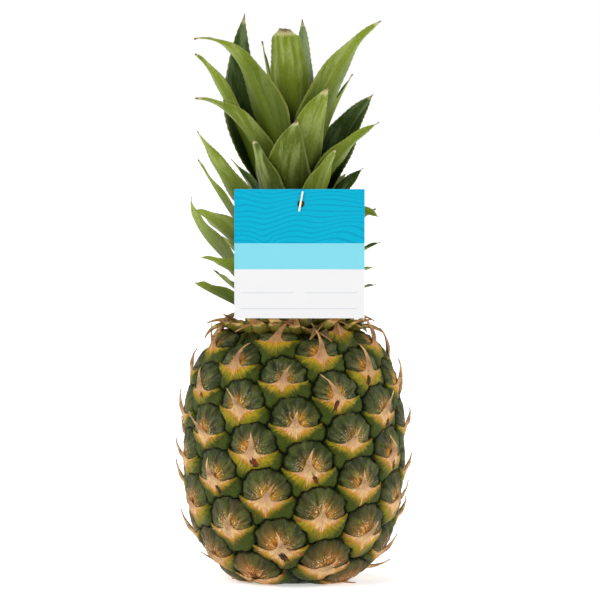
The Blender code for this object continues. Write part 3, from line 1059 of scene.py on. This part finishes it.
@dataclass
class Crown:
    """The crown's leaves, in one spiral up its short stem.

    A leaf's way of growing follows its share of the way down the crown, and some leaves have
    ways of their own.
    """

    stem_foot: float
    stem_top: float
    stem_foot_radius: float = 0.0140
    stem_top_radius: float = 0.0030
    leaf_turn: float = 137.5
    first_azimuth: float = -2.0
    count: int = 46
    top_root: float = 0.2060
    lowest_root: float = 0.1410
    columns: int = 12
    rows: int = 60
    thickness: float = 0.0009
    gap: float = 0.0003
    spread: float = 1.18
    least_width: float = 0.0005
    tooth: float = 0.00035
    ripple: float = 0.0005
    roll_range: float = 34.0
    seed: int = 11

    HABITS = (
        Habit(0.00, 4.0, 0.016, 0.300, 0.025, 0.55),
        Habit(0.13, 8.0, 0.033, 0.285, 0.024, 0.55),
        Habit(0.27, 14.0, 0.042, 0.262, 0.021, 0.60),
        Habit(0.40, 22.0, 0.046, 0.238, 0.019, 0.60),
        Habit(0.53, 32.0, 0.048, 0.214, 0.017, 0.60),
        Habit(0.67, 42.0, 0.048, 0.192, 0.014, 0.60),
        Habit(0.80, 52.0, 0.048, 0.172, 0.012, 0.60),
        Habit(0.93, 60.0, 0.044, 0.157, 0.010, 0.60),
        Habit(1.00, 66.0, 0.040, 0.150, 0.009, 0.60),
    )
    OWN_WAYS = {
        0: dict(azimuth=-14.0, reach=0.0155, tip=0.302, width=0.024, swing=-8.0, fullness=2.6,
            blunt=0.5),
        1: dict(azimuth=150.0, reach=0.026, tip=0.307, width=0.022, swing=20.0, tone=1.0),
        2: dict(reach=0.0175, tip=0.295, width=0.014),
        3: dict(lean=10.0, reach=0.052, tip=0.306, width=0.024, swing=15.0, arch=0.7),
        4: dict(reach=0.021, tip=0.284, width=0.016),
        5: dict(azimuth=-44.0, lean=13.0, reach=0.061, tip=0.296, width=0.024, swing=-18.0, arch=0.95,
            fullness=1.5),
        6: dict(reach=0.033, tip=0.277, width=0.019),
        7: dict(lean=33.0, reach=0.031, tip=0.31, width=0.026, arch=0.6, roll=-45.0),
        8: dict(reach=0.036, tip=0.271, width=0.019, swing=14.0, fullness=4.0, dry=0.14),
        9: dict(reach=0.033, tip=0.287, width=0.016, swing=-18.0),
        10: dict(reach=0.058, tip=0.264, width=0.02, arch=0.8, roll=18.0),
        11: dict(reach=0.049, tip=0.251, width=0.018, roll=-18.0),
        13: dict(lean=20.0, reach=0.032, tip=0.253, width=0.023, swing=18.0, fullness=3.0, tone=-0.55,
            dry=0.12),
        14: dict(reach=0.045, tip=0.266, width=0.022, swing=-18.0, fullness=3.0, roll=55.0),
        15: dict(reach=0.055, tip=0.288, width=0.015, arch=0.85, roll=40.0),
        16: dict(reach=0.037, tip=0.237, width=0.018, roll=15.0),
        18: dict(reach=0.03, tip=0.242, width=0.023, fullness=3.0, tone=-0.75),
        19: dict(reach=0.038, tip=0.226, width=0.019, roll=45.0),
        21: dict(reach=0.04, tip=0.198),
        23: dict(reach=0.0535, tip=0.246, width=0.021, roll=28.0, fullness=1.6),
        24: dict(reach=0.054, tip=0.2, width=0.016, arch=0.9, roll=-35.0),
        26: dict(reach=0.041, tip=0.2),
        28: dict(reach=0.057, tip=0.23, width=0.02, roll=24.0, fullness=1.5),
        29: dict(reach=0.041, tip=0.19),
        31: dict(reach=0.058, tip=0.203, width=0.025, swing=-12.0, roll=24.0, arch=0.9, fullness=1.5,
            tone=0.3),
        33: dict(azimuth=-116.0, reach=0.046, tip=0.188, width=0.021, roll=24.0, fullness=1.6),
        34: dict(reach=0.04, tip=0.178),
        36: dict(reach=0.056, tip=0.21, width=0.02, roll=20.0, arch=0.85, fullness=1.5, tone=0.5),
        37: dict(reach=0.05, tip=0.173, swing=15.0),
        39: dict(reach=0.056, tip=0.178, width=0.022, swing=-25.0, roll=16.0, arch=1.0, fullness=1.5),
        41: dict(azimuth=-100.0, reach=0.045, tip=0.17, width=0.018, roll=20.0, fullness=1.6),
        42: dict(reach=0.04),
        44: dict(reach=0.056, tip=0.164, width=0.017, roll=20.0, arch=1.05, fullness=1.5),
    }

    def leaves(self) -> list[Leaf]:
        """Grows every leaf.

        Returns:
            The leaves, from the youngest at the top to the lowest.
        """
        stations = [habit.share for habit in self.HABITS]
        made = []
        for number in range(self.count):
            share = number / (self.count - 1)
            grown = {key: float(np.interp(share, stations, [getattr(habit, key) for habit in self.HABITS]))
                     for key in ("lean", "reach", "tip", "width", "arch")}
            azimuth = float(way_round(self.first_azimuth + number * self.leaf_turn))
            root = self.top_root + (self.lowest_root - self.top_root) * share
            leaf = Leaf(azimuth, root, **grown)
            made.append(replace(leaf, **self.OWN_WAYS.get(number, {})))
        return made

    def stem_radius(self, height: float) -> float:
        """The stem's radius.

        Args:
            height: where on the stem.

        Returns:
            The radius.
        """
        share = (height - self.stem_foot) / (self.stem_top - self.stem_foot)
        share = min(max(share, 0.0), 1.0)
        return self.stem_foot_radius + (self.stem_top_radius - self.stem_foot_radius) * share

    def midrib(self, leaf: Leaf, share: Array) -> tuple[Array, Array, Array]:
        """A leaf's midrib, a curve with one bend.

        Args:
            leaf: the leaf.
            share: shares of the way up it.

        Returns:
            Its radius, height and lean in radians there.
        """
        start = Vector((self.stem_radius(leaf.root) + self.gap + self.thickness, leaf.root))
        end = Vector((leaf.reach, leaf.tip))
        lean = math.radians(leaf.lean)
        bend = start + Vector((math.sin(lean), math.cos(lean))) * leaf.arch * (end - start).length
        back = 1.0 - share
        radius = start.x * back**2 + bend.x * 2 * share * back + end.x * share**2
        height = start.y * back**2 + bend.y * 2 * share * back + end.y * share**2
        outward = (bend.x - start.x) * back + (end.x - bend.x) * share
        upward = (bend.y - start.y) * back + (end.y - bend.y) * share
        return radius, height, np.arctan2(outward, upward)

    def blade_width(self, leaf: Leaf, share: Array) -> Array:
        """The blade's width: broad and clasping at the root, then drawn to a point.

        Args:
            leaf: the leaf.
            share: shares of the way up it.

        Returns:
            Its width there.
        """
        root = 0.80 + 0.20 * smooth_step(share / 0.35)
        narrowing = np.clip((share - 0.34) / 0.66, 0.0, 1.0) ** (0.57 * leaf.fullness)
        taper = 1.0 - (1.0 - leaf.blunt) * narrowing
        return np.maximum(leaf.width * self.spread * root * taper, self.least_width)

    def blade(self, name: str, leaf: Leaf, own: Array) -> Mesh:
        """A leaf's blade: a grid bent along its midrib and channelled across.

        Args:
            name: the mesh's name.
            leaf: the leaf to make.
            own: the leaf's own random numbers.

        Returns:
            The open blade, marked for its finish.
        """
        mesh, side, share, _ = grids(name, 1, self.columns, self.rows)
        torn = 0.06 * np.sin(side * 9.0 + 1.0) + 0.05 * np.sin(side * 23.0)
        share = share * (1.0 - 0.14 * leaf.blunt * (torn + 0.9 * side**2) * share**6)
        radius, height, lean = self.midrib(leaf, share)
        half = self.blade_width(leaf, share) / 2
        tooth = np.where(np.round(share * self.rows) % 2 == 0, 0.0, self.tooth) * (np.abs(side) > 0.99)
        across = side * (half + tooth * smooth_step((1.0 - share) / 0.1))
        deep = 0.42 * half * smooth_step(share / 0.4)
        lift = deep * (0.55 * np.abs(side) ** 1.15 + 0.45 * side**2)
        lift = lift + self.ripple * np.sin(share * 21.0 + own[0] * 6.0) * side**2 * np.sign(side)
        roll = np.radians(leaf.roll + self.roll_range * (own[2] - 0.5)) * smooth_step((share - 0.04) / 0.6)
        across, lift = (across * np.cos(roll) - lift * np.sin(roll),
                        lift * np.cos(roll) + across * np.sin(roll))
        middle = leaf.azimuth + leaf.swing * share**2
        flat_share = 0.9 * smooth_step((share - 0.05) / 0.35)
        wrapped = middle + np.degrees(across * (1.0 - flat_share) / np.maximum(radius, 0.004))
        points = at_azimuth(wrapped, radius - np.cos(lean) * lift, height + np.sin(lean) * lift)
        points[:, 0] += np.cos(np.radians(middle)) * across * flat_share
        points[:, 1] += np.sin(np.radians(middle)) * across * flat_share
        move_points(mesh, points)
        length = float(np.hypot(leaf.reach - radius.min(), leaf.tip - leaf.root)) / MM
        dry = smooth_step((share - 1.0 + leaf.dry) / leaf.dry)
        mark(mesh, "blade", side * half / MM, share * length, own[1] * LEAF_SPREAD)
        mark(mesh, "state", share, dry, np.abs(side))
        mark(mesh, "tone", np.full_like(share, leaf.tone + (own[3] - 0.5) * 0.3), 0.0, 0.0)
        return mesh

    def build(self, outer: Material, inner: Material) -> None:
        """Makes every leaf in place of its plain solid.

        Args:
            outer: the finish of the leaves' outer face.
            inner: the finish of their inner face.
        """
        draws = np.random.default_rng(self.seed).random((self.count, 4))
        for number, leaf in enumerate(self.leaves()):
            mesh = self.blade(f"leaf_blade_{number + 1:02d}", leaf, draws[number])
            piece = add_piece(mesh.name, mesh, "leaf", outer, inner)
            thin_edges(piece, thicken(piece, self.thickness))
            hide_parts(f"crown_leaf_{number + 1:02d}")


@dataclass
class Collar:
    """Small scale leaves that crowd round the crown's foot and hide the top of the fruit."""

    foot_height: float
    count: int = 58
    turn: float = 137.5
    inner: float = 0.0150
    outer: float = 0.0345
    first_azimuth: float = 70.0
    sunk: float = 0.0010
    columns: int = 6
    rows: int = 12
    thickness: float = 0.0006
    seed: int = 23

    def build(self, outer: Material, inner: Material) -> None:
        """Makes the scale leaves as one piece.

        Args:
            outer: the finish of their outer face.
            inner: the finish of their inner face.
        """
        mesh, side, share, owner = grids("scale_leaves", self.count, self.columns, self.rows)
        own = np.random.default_rng(self.seed).random((self.count, 8))[owner]
        order = owner / (self.count - 1)
        base = self.inner + (self.outer - self.inner) * np.sqrt(order)
        length = 0.015 + 0.009 * own[:, 0] - 0.006 * order
        first = np.radians(4.0 + 34.0 * order + 16.0 * own[:, 1])
        last = first + np.radians(-20.0 + 165.0 * own[:, 2] ** 1.3)
        tilt = first + (last - first) * share
        radius = base + length * share * np.sin((first + tilt) / 2)
        height = self.foot_height - self.sunk + length * share * np.cos((first + tilt) / 2)
        half = (0.0050 + 0.0026 * own[:, 3]) * np.maximum(1.0 - share**1.3, 0.03)
        across = side * half
        hollow = 0.45 * half * side**2
        azimuth = owner * self.turn + self.first_azimuth + np.degrees(across / radius)
        azimuth = azimuth + (own[:, 4] - 0.5) * 34.0 * share**2
        points = at_azimuth(azimuth, radius - np.cos(tilt) * hollow, height + np.sin(tilt) * hollow)
        move_points(mesh, points)
        dry = smooth_step((share - 0.62 + 0.4 * own[:, 5]) / 0.3)
        mark(mesh, "blade", across / MM, share * length / MM, own[:, 6] * LEAF_SPREAD)
        mark(mesh, "state", 0.3 + 0.6 * share, dry, np.abs(side))
        mark(mesh, "tone", own[:, 7] - 0.5, 0.0, 0.0)
        thicken(add_piece("scale_leaves", mesh, "leaf", outer, inner), self.thickness)


@dataclass(frozen=True)
class StemFinish:
    """The crown's stem: pale green flesh, browner at its foot."""

    green: Colour = rgb(140, 146, 84)
    brown: Colour = rgb(110, 84, 44)

    def material(self) -> Material:
        """Builds the stem's finish.

        Returns:
            The material.
        """
        p = Painter("stem")
        fibres = p.noise(p.stretch(p.place(), (900.0, 900.0, 60.0)), 1.0, 3.0)
        colour = p.mix(p.fit(fibres, 0.35, 0.7), self.green, self.brown)
        return p.surface(colour, 0.7, p.bump(fibres, 0.0005))


@dataclass(frozen=True)
class CardFinish:
    """The tag's card: a blue field of fine wavy lines over a pale band and a plain panel.

    The tops are the levels below which the pale band and the plain panel begin, and each rule
    is given by its level and its ends.
    """

    front: float
    band_top: float = 0.1866
    panel_top: float = 0.1726
    blue: Colour = rgb(0, 162, 193)
    blue_line: Colour = rgb(0, 143, 178)
    pale: Colour = rgb(122, 200, 214)
    plain: Colour = rgb(219, 219, 220)
    rule: Colour = rgb(186, 190, 198)
    rule_half: float = 0.16 * MM

    RULES = ((0.1600, -0.0285, 0.0000), (0.1600, 0.0060, 0.0340), (0.1515, -0.0285, 0.0340))

    def material(self) -> Material:
        """Builds the printed card; its edges and its back stay plain.

        Returns:
            The material.
        """
        p = Painter("card")
        here = p.place()
        x, y, z = p.split(here)
        fibre = p.noise(here, 1400.0, 3.0)
        swell = p.noise(p.join(x, 0.0, z), 26.0, 1.0, 0.4, 0.6)
        waves = p.maths("SINE", z * 2200.0 + swell * 62.0)
        waved = p.coats(self.blue, (self.blue_line, waves, 0.30, 0.95, 0.8))
        colour = p.mix(z > self.panel_top, p.mix(self.ruled(p, x, z), self.plain, self.rule), self.pale)
        colour = p.mix(z > self.band_top, colour, waved)
        colour = p.mix(y < self.front + 0.1 * MM, self.plain, colour)
        colour = p.coats(colour, (self.rule, fibre, 0.45, 0.7, 0.02))
        return p.surface(colour, p.fit(fibre, 0.3, 0.7, 0.34, 0.44), p.bump(fibre, 0.00006),
                         Specular_IOR_Level=0.05)

    def ruled(self, p: Painter, x: Value, z: Value) -> Value:
        """Thin rules on the plain panel, with blank room above each.

        Args:
            p: the card's painter.
            x: how far to the right each point is.
            z: how high it is.

        Returns:
            1 on a rule, else 0.
        """
        found = None
        for level, left, right in self.RULES:
            line = (abs(z - level) < self.rule_half) * ((x > left) * (x < right))
            found = line if found is None else p.maths("MAXIMUM", found, line)
        return found


@dataclass(frozen=True)
class PinFinish:
    """The tag's pin: milky nylon, faintly clouded."""

    milk: Colour = rgb(236, 236, 228)
    cloud: Colour = rgb(206, 208, 200)

    def material(self) -> Material:
        """Builds the nylon.

        Returns:
            The material.
        """
        p = Painter("pin")
        cloud = p.noise(p.place(), 800.0, 2.0)
        colour = p.mix(p.fit(cloud, 0.35, 0.7), self.milk, self.cloud)
        return p.surface(colour, p.fit(cloud, 0.3, 0.7, 0.25, 0.4), p.bump(cloud, 0.00005),
                         Subsurface_Weight=0.2, Subsurface_Scale=0.001)


def dress(node: str, finish: Material) -> None:
    """Gives a kept part of the fixed model its finish.

    Args:
        node: the part's name.
        finish: its material.
    """
    for slot in bpy.data.objects[node].material_slots:
        slot.material = finish
    LOG.info("%s: dressed", node)


# ---------------------------------------------------------------- the studio
@dataclass
class Studio:
    """A pale floor in white surroundings, soft lights and the camera."""

    middle: Vector
    camera_distance: float = 2.6
    camera_elevation: float = 3.0
    picture_width: float = 0.328
    sensor: float = 36.0
    floor_reach: float = 12.0
    ambient: float = 0.30

    LIGHTS = (
        ("key", (-0.9, -1.2, 1.4), 0.55, 16.0),
        ("fill", (1.2, -1.3, 0.7), 0.8, 5.0),
        ("left_rim", (-1.4, 0.2, 0.7), 0.7, 9.0),
        ("right_rim", (1.4, 0.2, 0.7), 0.7, 11.0),
        ("top", (0.1, 0.3, 1.6), 0.6, 5.0),
    )

    def floor(self) -> None:
        """A wide pale floor."""
        shape = bmesh.new()
        bmesh.ops.create_grid(shape, x_segments=8, y_segments=8, size=self.floor_reach)
        mesh = mesh_from(shape, "floor")
        painter = Painter("floor")
        here = painter.place()
        tone = painter.mix(painter.noise(here, 6.0), rgb(246, 246, 246), rgb(250, 250, 250))
        x, y, _ = painter.split(here)
        glow = painter.fit(painter.length(x, y), 0.15, 1.8, 0.50, 0.96)
        finish = painter.surface(tone, 0.8, Specular_IOR_Level=0.1, Emission_Color=(1.0, 1.0, 1.0, 1.0),
                                 Emission_Strength=glow)
        mesh.materials.append(finish)
        floor = bpy.data.objects.new("floor", mesh)
        bpy.context.scene.collection.objects.link(floor)

    def surroundings(self) -> None:
        """White all round to look at, but dimmer as a light."""
        world = bpy.data.worlds.new("surroundings")
        world.use_nodes = True
        tree = world.node_tree
        seen = tree.nodes.new("ShaderNodeLightPath").outputs["Is Camera Ray"]
        strength = tree.nodes.new("ShaderNodeMapRange")
        strength.inputs["To Min"].default_value = self.ambient
        strength.inputs["To Max"].default_value = 1.0
        background = tree.nodes["Background"]
        background.inputs["Color"].default_value = (1.0, 1.0, 1.0, 1.0)
        tree.links.new(seen, strength.inputs["Value"])
        tree.links.new(strength.outputs[0], background.inputs["Strength"])
        bpy.context.scene.world = world

    def light(self, name: str, place: tuple, size: float, power: float) -> None:
        """A square soft light aimed at the object.

        Args:
            name: its name.
            place: where it stands.
            size: the length of its sides.
            power: its power in watts.
        """
        lamp = bpy.data.lights.new(name, "AREA")
        lamp.size = size
        lamp.energy = power
        holder = bpy.data.objects.new(name, lamp)
        holder.location = place
        holder.rotation_euler = (self.middle - Vector(place)).to_track_quat("-Z", "Y").to_euler()
        bpy.context.scene.collection.objects.link(holder)

    def camera(self) -> None:
        """A long lens, nearly level."""
        lens = bpy.data.cameras.new("camera")
        lens.sensor_width = self.sensor
        lens.lens = self.sensor * self.camera_distance / self.picture_width
        tilt = math.radians(self.camera_elevation)
        back = Vector((0.0, -math.cos(tilt), math.sin(tilt)))
        holder = bpy.data.objects.new("camera", lens)
        holder.location = self.middle + back * self.camera_distance
        holder.rotation_euler = (-back).to_track_quat("-Z", "Y").to_euler()
        bpy.context.scene.collection.objects.link(holder)
        bpy.context.scene.camera = holder

    def build(self) -> None:
        """Sets up the floor, the lights, the pale surroundings and the camera."""
        self.floor()
        for light in self.LIGHTS:
            self.light(*light)
        self.surroundings()
        bpy.context.scene.view_settings.view_transform = "Standard"
        self.camera()


def main() -> None:
    """Builds the pineapple and the studio round it."""
    logging.basicConfig(level=logging.INFO, format="%(name)s: %(message)s")
    stem_low, stem_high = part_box("crown_stem")
    Studio(middle=Vector((0.0033, 0.0, 0.1537))).build()
    barrel = Barrel(top=stem_low.z - Crown.gap)
    Fruit(barrel).build(Rind().material())
    outer = LeafFinish(Side.OUTER, rgb(118, 134, 28), rgb(90, 110, 16), rgb(166, 178, 106))
    inner = LeafFinish(Side.INNER, rgb(62, 84, 28), rgb(42, 64, 18), rgb(128, 146, 98))
    outer_finish, inner_finish = outer.material(), inner.material()
    crown = Crown(stem_foot=stem_low.z, stem_top=stem_high.z)
    crown.build(outer_finish, inner_finish)
    scale = LeafFinish(Side.SCALE, rgb(150, 156, 54), rgb(134, 118, 44), rgb(212, 190, 116),
                       foot=rgb(150, 138, 56), dry=rgb(232, 190, 122), scorch=rgb(162, 118, 66))
    Collar(stem_low.z).build(scale.material(), inner_finish)
    dress("crown_stem", StemFinish().material())
    dress("tag_card", CardFinish(front=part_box("tag_card")[0].y).material())
    dress("tag_pin", PinFinish().material())


if __name__ == "__main__":
    main()
